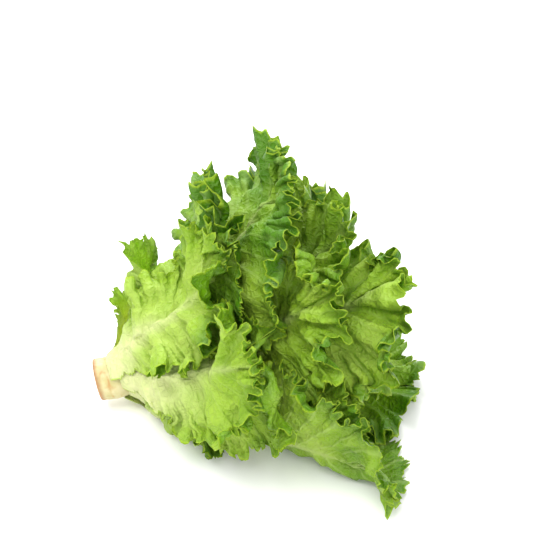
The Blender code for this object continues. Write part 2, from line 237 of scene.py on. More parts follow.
@dataclass
class HeadShape:
    """The head's axis, its stem and the surface that it lies on. Sizes are in metres and degrees."""

    axis_rise: float = 11.0
    axis_height: float = 0.0225
    apex_back: float = 0.030
    stem_radius: float = 0.0172
    stem_bare: float = 0.0125
    stem_core: float = 0.060
    stem_taper: float = 1.2
    core_radius: float = 0.0035
    surface_clearance: float = 0.0004
    top_opening: float = 17.0
    side_opening: float = 32.0
    most_opening: float = 80.0
    opening_power: float = 1.4

    def __post_init__(self) -> None:
        """Works out the axis directions, the apex and the stem's outline."""
        rise = math.radians(self.axis_rise)
        self.along = np.array([math.cos(rise), 0.0, math.sin(rise)])
        self.up = np.array([-math.sin(rise), 0.0, math.cos(rise)])
        self.side = np.array([0.0, 1.0, 0.0])
        self.cut = np.array([0.0, 0.0, self.axis_height])
        self.apex = self.cut - self.apex_back * self.along
        x = np.linspace(0.0, self.stem_core, 120)
        self.stem_rho = np.hypot(x + self.apex_back, self.radius(x))
        self.stem_theta = np.arctan2(self.radius(x), x + self.apex_back)

    def radius(self, x: Array) -> Array:
        """Radius of the stem at a distance from the cut: straight, then tapering as a power of a cosine."""
        share = np.clip((x - self.stem_bare) / (self.stem_core - self.stem_bare), 0.0, 1.0)
        return self.stem_radius * np.cos(share * math.pi / 2) ** self.stem_taper

    def outwards(self, phi: Array) -> Array:
        """Direction away from the axis at phi: up times its cosine and side times its sine."""
        return np.cos(phi)[..., None] * self.up + np.sin(phi)[..., None] * self.side

    def place(self, rho: Array, theta: Array, phi: Array) -> Array:
        """The point at rho, theta and phi: rho along the axis turned outwards by theta."""
        lean = np.cos(theta)[..., None] * self.along + np.sin(theta)[..., None] * self.outwards(phi)
        return self.apex + rho[..., None] * lean

    def locate(self, points: Array) -> tuple[Array, Array, Array]:
        """Rho, theta and phi of points."""
        away = points - self.apex
        along, up, side = away @ self.along, away @ self.up, away @ self.side
        out = np.hypot(up, side)
        return np.hypot(along, out), np.arctan2(out, along), np.arctan2(side, up)

    def inner_limit(self, rho: Array) -> Array:
        """Theta that a leaf stays outside: the stem's surface, and past it the room round the axis."""
        stem = np.interp(rho, self.stem_rho, self.stem_theta, right=0.0)
        return np.maximum(stem, np.arcsin(self.core_radius / np.maximum(rho, 2 * self.core_radius)))

    def surface_limit(self, rho: Array, phi: Array) -> Array:
        """Theta at which a leaf meets the surface, from the height of the apex and the slope of the direction."""
        along_part = self.along[2]
        out_part = np.cos(phi) * self.up[2]
        size = np.hypot(along_part, out_part)
        drop = (self.surface_clearance - self.apex[2]) / (rho * size)
        meets = np.arctan2(out_part, along_part) + np.arccos(np.clip(drop, -1.0, 1.0))
        return np.minimum(meets, math.radians(self.most_opening))

    def opening(self, phi: Array) -> Array:
        """Full lean of the inner leaves: least above the axis, most at the sides."""
        more = self.side_opening - self.top_opening
        return np.radians(self.top_opening + more * np.abs(np.sin(phi)) ** self.opening_power)


class FreeSpace:
    """A map over phi and rho of the theta that is still free inside the leaves already laid."""

    turns = 480
    rings = 300
    reach = 0.34

    def __init__(self, head: HeadShape) -> None:
        """Starts with the surface as the only limit."""
        turn = (np.arange(self.turns) + 0.5) / self.turns * 2 * math.pi - math.pi
        ring = (np.arange(self.rings) + 0.5) / self.rings * self.reach
        phi, rho = np.meshgrid(turn, ring, indexing="ij")
        self.surface = head.surface_limit(rho, phi)
        self.limit = self.surface.copy()
        self.widen()

    @staticmethod
    def lowest_beside(values: Array) -> Array:
        """The lowest of each cell's value and its neighbours', on a map that closes on itself round the axis."""
        low = np.minimum(values, np.minimum(np.roll(values, 1, 0), np.roll(values, -1, 0)))
        found = low.copy()
        found[:, 1:] = np.minimum(found[:, 1:], low[:, :-1])
        found[:, :-1] = np.minimum(found[:, :-1], low[:, 1:])
        return found

    def widen(self) -> None:
        """Each cell of the widened maps holds the lowest value of its own cell and of those beside it."""
        self.widened = self.lowest_beside(self.limit)
        self.uncovered = self.lowest_beside(self.limit == self.surface)

    def cell(self, rho: Array, phi: Array) -> tuple[Array, Array]:
        """The map's cell that holds each point."""
        turn = np.floor((phi / (2 * math.pi) + 0.5) * self.turns).astype(int) % self.turns
        ring = np.clip(np.floor(rho / self.reach * self.rings).astype(int), 0, self.rings - 1)
        return turn, ring

    def read(self, rho: Array, phi: Array) -> Array:
        """The limit at each point."""
        return self.widened[self.cell(rho, phi)]

    def read_evenly(self, rho: Array, phi: Array) -> Array:
        """The limit at each point without steps: the lowest round each cell, averaged, then read between cells."""
        even = self.lowest_beside(self.widened)
        even = (even + np.roll(even, 1, 0) + np.roll(even, -1, 0)) / 3
        even[:, 1:-1] = (even[:, :-2] + even[:, 1:-1] + even[:, 2:]) / 3
        turn = (phi / (2 * math.pi) + 0.5) * self.turns - 0.5
        ring = np.clip(rho / self.reach * self.rings - 0.5, 0.0, self.rings - 1.001)
        i, j = np.floor(turn).astype(int), np.floor(ring).astype(int)
        return between(even, (i % self.turns, (i + 1) % self.turns), j, (turn - i, ring - j))

    def bare(self, rho: Array, phi: Array) -> Array:
        """Whether no leaf lies between each point and the surface."""
        return self.uncovered[self.cell(rho, phi)]

    def lay(self, rho: Array, phi: Array, theta: Array) -> None:
        """Lowers the map to the inner face of a leaf."""
        np.minimum.at(self.limit, self.cell(rho, phi), theta)
        self.widen()


@dataclass
class LeafCage:
    """A leaf as the part's source settles it: rows of large triangles between rib and margin."""

    number: int
    head: HeadShape
    blade_thickness: float = 0.0009
    rib_thickness: float = 0.0021
    rib_width: float = 0.0075
    long_leaf: float = 0.220
    ruffle_height: float = 0.0062
    broad_height: float = 0.0050
    broad_columns: float = 5.3
    outwards: float = 0.35
    tooth: float = 0.0028
    margin_flare: float = 0.006
    tip_flare: float = 4.0
    fold_height: float = 0.0035
    leaf_clearance: float = 0.0005
    stem_clearance: float = 0.0004
    resting_depth: float = 0.0024
    spine_share: float = 0.80
    widest_share: float = 0.62
    straight_share: float = 0.55
    root_half_width: float = 0.0135
    most_wrap: float = 2.4
    last_root: float = 0.050
    root_crowding: float = 0.85
    heart_lean: float = 0.16
    inner_run: float = 0.085
    first_inner_turn: float = -8.0
    inner_length: tuple = ((0.0, 0.35, 0.55, 1.0), (0.198, 0.190, 0.218, 0.135))
    inner_half_width: tuple = ((0.0, 0.5, 1.0), (0.076, 0.066, 0.036))
    passes: int = 80
    longest_step: float = 0.0008

    def __post_init__(self) -> None:
        """Takes the leaf's place and size from the table, or from its age among the inner leaves."""
        draw = np.random.default_rng(1000 + self.number)
        outer = len(OUTER_LEAVES)
        share = self.number / (outer + INNER_LEAVES - 1)
        self.root = self.head.stem_bare + (self.last_root - self.head.stem_bare) * share ** self.root_crowding
        if self.number < outer:
            turn, lean, self.length, self.half_width, self.run = OUTER_LEAVES[self.number]
            self.lean = math.radians(lean)
            self.share_of_opening = None
        else:
            age = (self.number - outer) / (INNER_LEAVES - 1)
            turn = self.first_inner_turn + (self.number - outer) * GOLDEN_ANGLE
            self.share_of_opening = 1.0 - (1.0 - self.heart_lean) * age
            self.length = float(np.interp(age, *self.inner_length)) * draw.uniform(0.95, 1.05)
            self.half_width = float(np.interp(age, *self.inner_half_width))
            self.run = self.inner_run
            self.lean = self.share_of_opening * float(self.head.opening(math.radians(turn)))
        self.turn = math.radians(turn)
        self.columns = 17 if self.length * self.half_width > 0.0095 else 13
        self.fold_phase = draw.uniform(0.0, 2 * math.pi, 2)
        self.swing = self.waves(draw)
        self.root_rho = math.hypot(self.root + self.head.apex_back, float(self.head.radius(self.root)))
        self.root_theta = float(self.head.inner_limit(self.root_rho))

    @property
    def name(self) -> str:
        """The node's name: outer_leaf_01 and on, then inner_leaf_01, then heart_leaf_01."""
        inner = len(OUTER_LEAVES)
        heart = inner + INNER_LEAVES - HEART_LEAVES
        if self.number < inner:
            return f"outer_leaf_{self.number + 1:02d}"
        if self.number < heart:
            return f"inner_leaf_{self.number - inner + 1:02d}"
        return f"heart_leaf_{self.number - heart + 1:02d}"

    def waves(self, draw: np.random.Generator) -> tuple[Array, Array]:
        """Height of the margin's waves at each column: a ruffle that turns at each column, and a broad sine."""
        column = np.arange(-self.columns, self.columns + 1)
        ruffle = np.cos(math.pi * column) * draw.uniform(0.7, 1.3, len(column))
        broad = np.sin(2 * math.pi * column / self.broad_columns + draw.uniform(0.0, 2 * math.pi))
        return ruffle, broad

    def outline(self, share: Array) -> tuple[Array, Array]:
        """Place along the leaf and half-width of the margin, where share runs from root to tip.

        The margin widens as a power of the way up, and closes over the tip as an ellipse.
        """
        low = np.clip(share / self.straight_share, 0.0, 1.0)
        cap = np.clip((share - self.straight_share) / (1.0 - self.straight_share), 0.0, 1.0) * math.pi / 2
        along = self.length * (self.widest_share * low + (1.0 - self.widest_share) * np.sin(cap))
        widening = low ** 1.25 * (1.0 + 0.18 * np.sin(math.pi * low))
        width = self.root_half_width + (self.half_width - self.root_half_width) * widening
        return along, width * np.cos(cap)

    def flat(self) -> tuple[Array, Array, Array, Array, Array]:
        """Place along and across the flat blade of each vertex, margin share, row share and column."""
        count = self.columns
        rows = np.array(ACROSS)
        column = np.arange(-count, count + 1)
        share = 1.0 - np.abs(column) / count
        margin_along, margin_width = self.outline(share)
        start = self.spine_share * self.length * share
        reach = rows * (1.0 - rows ** 6 * self.tooth / self.half_width * (column % 2)[:, None])
        along = start[:, None] + (margin_along - start)[:, None] * reach
        across = (np.sign(column) * margin_width)[:, None] * reach
        spine = np.arange(count + 1)
        none = np.zeros(count + 1)
        along = np.concatenate([self.spine_share * self.length * spine / count, along.ravel()])
        across = np.concatenate([none, across.ravel()])
        share = np.concatenate([spine / count, np.repeat(share, len(rows))])
        row = np.concatenate([none, np.tile(rows, len(column))])
        column = np.concatenate([spine - count, np.repeat(column, len(rows))])
        return along, across, share, row, column

    def vertex(self, column: Array, row: Array) -> Array:
        """Number of the cage's vertex at a column and a row. The rib's vertices come first, root to tip."""
        above = self.columns + 1 + (column + self.columns) * len(ACROSS) + row - 1
        return np.where(row == 0, self.columns - np.abs(column), above)

    def triangles(self) -> Array:
        """The cage's triangles, two to each cell between columns and rows."""
        column, row = np.meshgrid(np.arange(-self.columns, self.columns), np.arange(len(ACROSS)), indexing="ij")
        column, row = column.ravel(), row.ravel()
        a, b = self.vertex(column, row), self.vertex(column + 1, row)
        c, d = self.vertex(column + 1, row + 1), self.vertex(column, row + 1)
        return np.stack([a, b, c, a, c, d], axis=1).reshape(-1, 3)

    def half_thickness(self, along: Array, across: Array) -> Array:
        """Half the blade's thickness: a thin blade, and a rib that is thickest at the root and runs out."""
        left = 1.0 - along / self.length
        width = self.rib_width * (0.4 + 0.6 * left)
        height = self.rib_thickness * self.length / self.long_leaf * np.maximum(left, 0.0) ** 1.5
        return (self.blade_thickness + height * np.exp(-((across / width) ** 2))) / 2

    def wanted_theta(self, rho: Array, phi: Array, flat: tuple[Array, ...]) -> Array:
        """The lean that the blade takes where nothing presses on it."""
        along, _, share, row, column = flat
        full = self.lean
        if self.share_of_opening is not None:
            full = self.share_of_opening * self.head.opening(phi)
        theta = self.root_theta + (full - self.root_theta) * leaning_out((rho - self.root_rho) / self.run)
        run = along / self.length
        theta = theta + math.radians(self.tip_flare) * run ** 3
        ruffle, broad = (wave[column + self.columns] for wave in self.swing)
        free = smooth((share - 0.15) / 0.3)
        folds = np.sin(9.0 * run + self.fold_phase[0]) * np.sin(2.5 * (phi - self.turn) + self.fold_phase[1])
        lift = self.fold_height * folds * smooth(run / 0.4) + free * self.margin_flare * row ** 4
        waves = self.ruffle_height * (ruffle + self.outwards) * row ** 3
        waves = waves + self.broad_height * (broad + self.outwards) * row ** 2
        return theta + (lift + free * waves) / rho

    def both_faces(self, middle: Array, half: Array, faces: Array) -> tuple[Array, Array]:
        """The vertices of the blade's two faces, half the thickness to each side of the middle."""
        corners = middle[faces]
        normals = np.cross(corners[:, 1] - corners[:, 0], corners[:, 2] - corners[:, 0])
        summed = np.zeros_like(middle)
        for corner in range(3):
            np.add.at(summed, faces[:, corner], normals)
        summed = unit(summed)
        return middle + summed * half[:, None], middle - summed * half[:, None]

    def settle(self, space: FreeSpace) -> None:
        """Settles the cage between the stem and what lies outside it, as the part's source does.

        Points on both faces are looked up on the map, and each vertex moves by the largest overlap near it.
        """
        flat = self.flat()
        along, across = flat[0], flat[1]
        faces = self.triangles()
        head = self.head
        rho = self.root_rho + along
        opened = leaning_out((rho - self.root_rho) / self.run)
        radius = rho * np.sin(self.root_theta + (self.lean - self.root_theta) * opened)
        phi = self.turn + across / np.maximum(radius, self.half_width / self.most_wrap)
        half = self.half_thickness(along, across)
        theta = self.wanted_theta(rho, phi, flat)
        theta = np.minimum(theta, space.read(rho, phi) - (1.3 * half + self.leaf_clearance) / rho)
        weights = barycentric(12)
        pull = weights / (weights ** 2).sum(1, keepdims=True)
        for _ in range(self.passes):
            for side in self.both_faces(head.place(rho, theta, phi), half, faces):
                at_rho, at_theta, at_phi = head.locate(np.einsum("sk,fkd->fsd", weights, side[faces]))
                over = at_theta - space.read(at_rho, at_phi) + self.leaf_clearance / at_rho
                under = head.inner_limit(at_rho) + self.stem_clearance / at_rho - at_theta
                for amount, sign in ((over, -1.0), (under, 1.0)):
                    amount = np.clip(amount, 0.0, self.longest_step / at_rho)
                    moved = np.zeros_like(theta)
                    np.maximum.at(moved, faces.ravel(), (amount[..., None] * pull).max(1).ravel())
                    theta = theta + sign * moved
        sides = self.both_faces(head.place(rho, theta, phi), half, faces)
        self.press(sides, faces, space)
        weights = barycentric(34)
        for side in sides:
            at_rho, at_theta, at_phi = head.locate(np.einsum("sk,fkd->fsd", weights, side[faces]))
            space.lay(at_rho, at_phi, at_theta)
        self.sides = sides

    def press(self, sides: tuple[Array, Array], faces: Array, space: FreeSpace) -> None:
        """Lays the lower face flat on the surface where it nearly touches it, with no leaf between."""
        weights = barycentric(12)
        for near, far in (sides, sides[::-1]):
            rho, _, phi = self.head.locate(np.einsum("sk,fkd->fsd", weights, near[faces]))
            blocked = np.zeros(len(near), bool)
            blocked[faces[~space.bare(rho, phi).all(axis=1)]] = True
            low = ~blocked & (near[:, 2] < far[:, 2]) & (near[:, 2] < self.resting_depth)
            near[low, 2] = 0.0

    def grid(self) -> Array:
        """The settled middle of the blade as an array of columns by rows, the rib as row 0."""
        column, row = np.meshgrid(
            np.arange(-self.columns, self.columns + 1), np.arange(len(ACROSS) + 1), indexing="ij"
        )
        return ((self.sides[0] + self.sides[1]) / 2)[self.vertex(column, row)]


class Detail(Enum):
    """How finely a blade is divided, by how much of it shows: sample spacing along the margin, in metres."""

    FULL = 0.00072
    GOOD = 0.00095
    PLAIN = 0.0022


@dataclass(frozen=True)
class Look:
    """How one leaf looks beside the others: each value but the detail is a share of the usual or a colour's place."""

    detail: Detail = Detail.PLAIN
    depth: float = 0.15  # from -1, pale, to 1, deep green
    cream: float = 0.060  # how far from the root its white base reaches, in metres
    frill: float = 1.0
    reach: float = 1.0
    relief: float = 1.0
    teeth: float = 1.0
    veins: float = 0.22
    see_through: float = 0.30
    curl_width: float = 0.012  # how wide a strip of the margin rolls outwards, in metres
    curl_bend: float = 0.012  # how much of that strip bends, where the rest hangs straight, in metres
    curl_most: float = 1.3  # how far it turns, in radians
    curl_at: float = 0.0  # column at the middle of one wide roll
    curl_span: float = 0.0  # columns to each side of it, or 0 for rolls here and there
    wider: float = 1.0
    tucked: float = 0.3  # how much of its frills turns inwards where another leaf lies close outside
    scars: tuple = ()  # places of brown marks on the rib, in metres from the root


@dataclass(frozen=True)
class Frill:
    """One size of wave along a margin, which leans over as a meandering river does."""

    wavelength: float
    height: float  # half the wave's height, as a share of its length
    overhang: float  # how far its flanks lean over, as a share of its length
    depth: float  # how far in from the margin it reaches
    notch: float  # how deep the margin is notched between two lobes
    rarity: float = 0.0  # share of the margin that it leaves flat

    def wave(self, seed: int, margin: Array, inwards: Array) -> tuple[Array, Array]:
        """Offsets along the blade's normal and along its margin.

        The normal offset is minus the cosine of the phase and the margin offset its double sine. The phase
        drifts at random, the height varies at random, and both fade with the distance in from the margin.

        Args:
            seed: Which random drift.
            margin: Distance along the margin of each column.
            inwards: Distance in from the margin of each vertex.

        Returns:
            The two offsets, for each column and row.
        """
        phase = self.phase(seed, margin)[:, None]
        swell = 1.0 + 0.45 * noise_line(seed + 1, margin, 1.7 * self.wavelength)
        spell = smooth((noise_line(seed + 2, margin, 3.0 * self.wavelength) + 1.0 - 2.0 * self.rarity) / 0.5)
        fade = np.exp(-((inwards / self.depth) ** 1.6)) * (swell * spell)[:, None]
        normal = -self.height * self.wavelength * np.cos(phase) * fade
        return normal, self.overhang * self.wavelength * np.sin(2.0 * phase) * fade

    def phase(self, seed: int, margin: Array) -> Array:
        """Phase of the wave at each column, drifting at random by up to a third of a turn."""
        return 2 * math.pi * (margin / self.wavelength + 0.33 * noise_line(seed, margin, 2.2 * self.wavelength))

    def notches(self, seed: int, margin: Array) -> Array:
        """How far each column stops short of the margin: deepest where the wave crosses the blade."""
        return self.notch * (1.0 - np.abs(np.cos(self.phase(seed, margin)))) ** 1.5


FRILLS = (
    Frill(wavelength=0.0290, height=0.19, overhang=0.055, depth=0.0340, notch=0.0055),
    Frill(wavelength=0.0080, height=0.42, overhang=0.130, depth=0.0165, notch=0.0034, rarity=0.03),
    Frill(wavelength=0.0039, height=0.38, overhang=0.080, depth=0.0060, notch=0.0014, rarity=0.05),
)


@dataclass
class LeafBlade:
    """A fine blade drawn through a settled cage."""

    cage: LeafCage
    look: Look
    inner_columns_step: int = 3  # between the rib and the frills, only every third column is kept
    inner_zone: float = 0.50  # share of the way to the margin that has the wider columns
    blade_half: float = 0.00034
    rim_half: float = 0.00020
    rib_relief: float = 0.0016
    vein_relief: float = 0.00030
    gap: float = 0.00035
    tooth_spacing: float = 0.0037
    tooth_depth: float = 0.0018
    pleat_height: float = 0.0034
    swell_height: float = 0.0028
    blister_height: float = 0.0023
    crease_height: float = 0.0016
    swell_width: float = 0.021
    blister_widths: tuple = (0.0120, 0.0062)
    crease_width: float = 0.018
    rib_width: float = 0.0045
    rim_width: float = 0.012
    relief_room: float = 0.004  # room outside that relief needs to reach its full height
    draw_in: float = 0.0060
    stand_proud: float = 0.0030
    hover: float = 0.0011  # how far the lowest blades would stay above the surface
    seed: int = field(init=False)

    def __post_init__(self) -> None:
        """Lays out the columns and rows."""
        self.seed = 5000 + 50 * self.cage.number
        margin_length = 2.3 * (self.cage.length * 0.62 + self.cage.half_width)
        step = self.inner_columns_step
        half = int(round(margin_length / 2 / self.look.detail.value / step)) * step
        self.half = max(half, 8 * step)
        self.t = np.linspace(-self.cage.columns, self.cage.columns, 2 * self.half + 1)
        self.v = self.rows()
        self.lay_flat()

    def rows(self) -> Array:
        """Row shares from rib to margin: fine beside the rib, coarse on the blade, finest at the margin."""
        width = self.cage.half_width
        fineness = {Detail.FULL: 1.0, Detail.GOOD: 1.35, Detail.PLAIN: 2.6}[self.look.detail]
        rows = [0.0]
        while rows[-1] < 1.0:
            inwards = (1.0 - rows[-1]) * width
            beside_rib = rows[-1] * width
            step = min(0.0009 + 0.22 * beside_rib, 0.0030, 0.0007 + 0.085 * inwards) * fineness
            rows.append(rows[-1] + step / width)
        rows = np.array(rows)
        return rows / rows[-1]

    def lay_flat(self) -> None:
        """Works out the flat blade: distance along the margin, in from it, along the rib and across it."""
        cage = self.cage
        share = 1.0 - np.abs(self.t) / cage.columns
        along, width = cage.outline(share)
        start = cage.spine_share * cage.length * share
        sign = np.sign(self.t)
        steps = np.hypot(np.diff(along), np.diff(sign * width))
        self.margin = np.concatenate([[0.0], np.cumsum(steps)])
        self.reach = np.hypot(along - start, width)
        teeth = np.abs(np.sin(math.pi * (self.margin / self.tooth_spacing
                                         + 0.5 * noise_line(self.seed + 7, self.margin, 0.008))))
        depth = self.look.teeth * self.tooth_depth * (1.0 + 0.7 * noise_line(self.seed + 8, self.margin, 0.006))
        cuts = depth * teeth ** 0.9
        for number, frill in enumerate(FRILLS):
            cuts = cuts + frill.notches(self.frill_seed(number), self.margin)
        cuts = cuts * smooth(share / 0.12)
        shorter = np.clip(cuts / np.maximum(self.reach, 1e-4), 0.0, 0.5)
        v = self.v[None, :]
        self.r = v * (self.look.wider - shorter[:, None] * v ** 3)
        self.inwards = (1.0 - v) * self.reach[:, None]
        self.along = start[:, None] + (along - start)[:, None] * self.r
        self.across = (sign * width)[:, None] * self.r
        self.free = smooth((share - 0.10) / 0.25)

    def through_cage(self) -> Array:
        """The smooth surface through the cage: cubic curves along the columns, then across the rows.

        Between columns each value follows the cubic that passes its four nearest columns, and across the rows
        the cubic that leaves each row with the mean slope of its two neighbours.
        """
        grid = self.cage.grid()
        grid = np.concatenate([2 * grid[:1] - grid[1:2], grid, 2 * grid[-1:] - grid[-2:-1]])
        at = self.t + self.cage.columns
        low = np.minimum(np.floor(at).astype(int), 2 * self.cage.columns - 1)
        s = (at - low)[:, None, None]
        p0, p1, p2, p3 = (grid[low + k] for k in range(4))
        line = p1 + 0.5 * s * (p2 - p0 + s * (2 * p0 - 5 * p1 + 4 * p2 - p3 + s * (3 * (p1 - p2) + p3 - p0)))
        knots = np.array([0.0, *ACROSS])
        secant = np.diff(line, axis=1) / np.diff(knots)[None, :, None]
        slope = np.concatenate([secant[:, :1], (secant[:, :-1] + secant[:, 1:]) / 2, secant[:, -1:]], axis=1)
        cell = np.clip(np.searchsorted(knots, self.r, side="right") - 1, 0, len(knots) - 2)
        wide = np.diff(knots)[cell]
        s = ((self.r - knots[cell]) / wide)[..., None]
        pick = np.arange(len(line))[:, None]
        start, end = line[pick, cell], line[pick, cell + 1]
        start_slope, end_slope = slope[pick, cell] * wide[..., None], slope[pick, cell + 1] * wide[..., None]
        turn = start * (1 + 2 * s) * (1 - s) ** 2 + end * s ** 2 * (3 - 2 * s)
        return turn + start_slope * s * (1 - s) ** 2 - end_slope * s ** 2 * (1 - s)

    def frames(self, points: Array) -> tuple[Array, Array]:
        """Directions along the margin and away from the head, from the differences between neighbours."""
        along = np.gradient(points, axis=0)
        across = np.gradient(points, self.v, axis=1)
        across[:, 0] = across[:, 1]
        normal = unit(np.cross(across, along))
        head = self.cage.head
        _, theta, phi = head.locate(points)
        out = -np.sin(theta)[..., None] * head.along + np.cos(theta)[..., None] * head.outwards(phi)
        flip = np.sign((normal * out).sum(-1).mean())
        return unit(along), normal * flip

    def noise(self, number: int, spacing: float) -> Array:
        """Smooth random values over the flat blade."""
        return noise_sheet(self.seed + number, self.along, self.across, spacing)

    def relief(self) -> Array:
        """Height of the pleats, swellings, blisters and creases over each vertex.

        Pleats follow the columns. Swellings are broad random bumps. Blisters are hollows between the veins, the
        size of a random value without its sign, so they meet in sharp ridges. Creases are ridges along the lines
        where another random value is zero.
        """
        side = np.sign(self.t)[:, None]
        rows = self.v[None, :]
        fan = self.t[:, None] + 0.35 * self.noise(11, 0.020)
        pleat = self.pleat_height * noise_sheet(self.seed + 12, 1.15 * fan, 1.6 * rows + side, 1.0)
        pleat = pleat * smooth(rows / 0.25) * smooth(self.along / 0.05) * (1.0 - 0.5 * smooth((rows - 0.7) / 0.3))
        swell = self.swell_height * self.noise(16, self.swell_width)
        large, small = self.blister_widths
        cells = np.abs(self.noise(13, large)) + 0.5 * np.abs(self.noise(14, small))
        lines = noise_sheet(self.seed + 17, 0.6 * self.along, self.across, self.crease_width)
        creases = np.exp(-((lines / 0.12) ** 2))
        amount = smooth((self.along / self.cage.length - 0.12) / 0.3) * smooth(rows / 0.15)
        veins = -self.vein_relief * np.cos(2 * math.pi * fan) * smooth(rows / 0.1) * (1.0 - rows)
        bumps = swell - self.blister_height * (cells - 0.5) + self.crease_height * creases
        return self.look.relief * (pleat + bumps * amount) + veins * self.look.veins / 0.22

    def frill_seed(self, number: int) -> int:
        """Which random drift a size of frill has on this blade."""
        return self.seed + 20 * number

    def room_outside(self, points: Array, space: FreeSpace) -> Array:
        """How far each point may move outwards before it meets another leaf: the least room near it, evened."""
        rho, theta, phi = self.cage.head.locate(points)
        room = np.clip((space.read_evenly(rho, phi) - theta) * rho - self.gap, 0.0, 0.03)
        return blurred(-spread(-room, 7, 3), 5)

    def curled(self, points: Array, room: Array) -> Array:
        """Rolls the outer part of the blade outwards in spells, as a strip bent to an arc that runs on straight.

        Past the line where the roll starts, a point at distance q goes to radius times (sine, one minus cosine)
        of q over the radius, in the plane of the blade's outward direction and its normal.
        """
        look = self.look
        even = blurred(points, 12)
        _, normal = self.frames(even)
        outwards = unit(np.gradient(even, self.v, axis=1))
        if look.curl_span > 0.0:
            spell = smooth(1.5 * (1.0 - np.abs(self.t - look.curl_at) / look.curl_span))
            spell = spell * (1.0 + 0.25 * noise_line(self.seed + 15, self.margin, 0.030))
        else:
            spell = smooth((noise_line(self.seed + 15, self.margin, 0.024) + 0.15) / 0.9)
            spell = spell * smooth(np.abs(self.t) / (0.18 * self.cage.columns))
        near = -spread(-room, 6, 10)[:, -1]
        angle = look.curl_most * spell * smooth((near - 0.002) / 0.007) * self.free
        q = np.clip(look.curl_width - self.inwards, 0.0, None)
        bend = np.maximum(angle / look.curl_bend, 1e-3)[:, None]
        bent = np.minimum(q, look.curl_bend)
        ahead = np.sin(bend * bent) / bend + (q - bent) * np.cos(bend * bent) - q
        aside = (1.0 - np.cos(bend * bent)) / bend + (q - bent) * np.sin(bend * bent)
        return points + outwards * ahead[..., None] + normal * aside[..., None]

    def frilled(self, points: Array, frill: Frill, seed: int, room: Array) -> Array:
        """Adds one size of frill, held down where another leaf lies close outside.

        Its directions are those of the blade evened over about a quarter of a wave.
        """
        passes = int(2 * (0.22 * frill.wavelength / self.look.detail.value) ** 2) + 2
        along, normal = self.frames(blurred(points, min(passes, 60)))
        depth = frill.depth * self.look.reach
        rise, lean = frill.wave(seed, self.margin, self.inwards / self.look.reach)
        rise, lean = rise * self.look.frill, lean * self.look.frill
        height = frill.height * frill.wavelength
        loose = np.clip(room / (1.6 * height), 0.0, 1.0) * self.free[:, None]
        bias = 0.25 * height * np.exp(-((self.inwards / depth) ** 1.6))
        tucked = self.look.tucked
        inwards = (tucked + (1.0 - tucked) * loose) * self.free[:, None]
        rise = np.where(rise > 0, rise * loose, rise * inwards) + bias * loose
        return points + normal * rise[..., None] + along * (lean * loose)[..., None]

    def kept_clear(self, points: Array, half: Array, space: FreeSpace) -> Array:
        """Moves what would cross the leaf outside, the stem or the surface, with its surroundings."""
        head = self.cage.head
        for _ in range(3):
            rho, theta, phi = head.locate(points)
            over = np.clip(theta - space.read_evenly(rho, phi) + (half + self.gap) / rho, 0.0, None)
            over = np.maximum(blurred(spread(over, 6, 4), 8), over)
            under = np.clip(head.inner_limit(rho) + (half + 0.0002) / rho - theta, 0.0, None)
            points = head.place(rho, theta - over + np.maximum(blurred(under, 2), under), phi)
        return points

    def boxed(self, points: Array, low: Array, high: Array) -> Array:
        """Draws in what lies near or outside the part's box, so that it ends a few millimetres outside at most.

        Past a line just inside the box the distance follows a hyperbolic tangent. The lower side is the surface.
        """
        band = self.draw_in + self.stand_proud
        above = np.clip(points - (high - self.draw_in), 0.0, None)
        below = np.clip(low + self.draw_in - points, 0.0, None)
        below[..., 2] = 0.0
        points = points - above + below + band * (np.tanh(above / band) - np.tanh(below / band))
        points[..., 2] = np.maximum(points[..., 2], low[2] + 0.0002)
        return points

    def thickness(self) -> tuple[Array, Array]:
        """Half the blade's thickness, least at the rim, and the height of its rib, a bell curve across it."""
        thick = smooth(self.inwards / self.rim_width)
        left = np.clip(1.0 - self.along / self.cage.length, 0.0, 1.0)
        width = self.rib_width * (0.35 + 0.65 * left)
        rib = self.rib_relief * self.cage.length / self.cage.long_leaf * left ** 0.9
        rib = rib * np.exp(-((self.across / width) ** 2))
        return self.rim_half + (self.blade_half - self.rim_half) * thick, rib

    def build(self, space: FreeSpace, low: Array, high: Array) -> None:
        """Works out both faces of the blade and lays it on the map.

        Args:
            space: The map of free space inside the finished blades further out.
            low: Lowest corner of the part's box, in the head's own axes.
            high: Highest corner of the same box.
        """
        points = self.through_cage()
        room = self.room_outside(points, space)
        _, normal = self.frames(points)
        relief = self.relief()
        relief = np.where(relief > 0.0, relief * np.clip(room / self.relief_room, 0.0, 1.0), relief)
        points = points + normal * relief[..., None]
        points = self.curled(points, room)
        for number, frill in enumerate(FRILLS):
            points = self.frilled(points, frill, self.frill_seed(number), room)
        half, rib = self.thickness()
        points = self.kept_clear(points, half + rib, space)
        points = self.boxed(points, low, high)
        points[..., 2] -= self.hover * smooth((low[2] + 0.009 - points[..., 2]) / 0.007)
        _, normal = self.frames(points)
        outer = points + normal * (half + rib)[..., None]
        inner = points - normal * (half + 0.25 * rib)[..., None]
        for side in (outer, inner):
            side[:, 0] = (side[:, 0] + side[::-1, 0]) / 2
            side[..., 2] = np.maximum(side[..., 2], low[2])
        self.outer, self.inner = outer, inner
        self.lay(space)

    def lay(self, space: FreeSpace) -> None:
        """Enters both faces in the map, with points between the vertices where they are far apart."""
        for side in (self.inner, self.outer):
            plain = self.look.detail is Detail.PLAIN
            for _ in range(3 if plain else 2):
                side = self.denser(self.denser(side, 1), 0) if plain else self.denser(side, 1)
            rho, theta, phi = self.cage.head.locate(side)
            space.lay(rho, phi, theta)

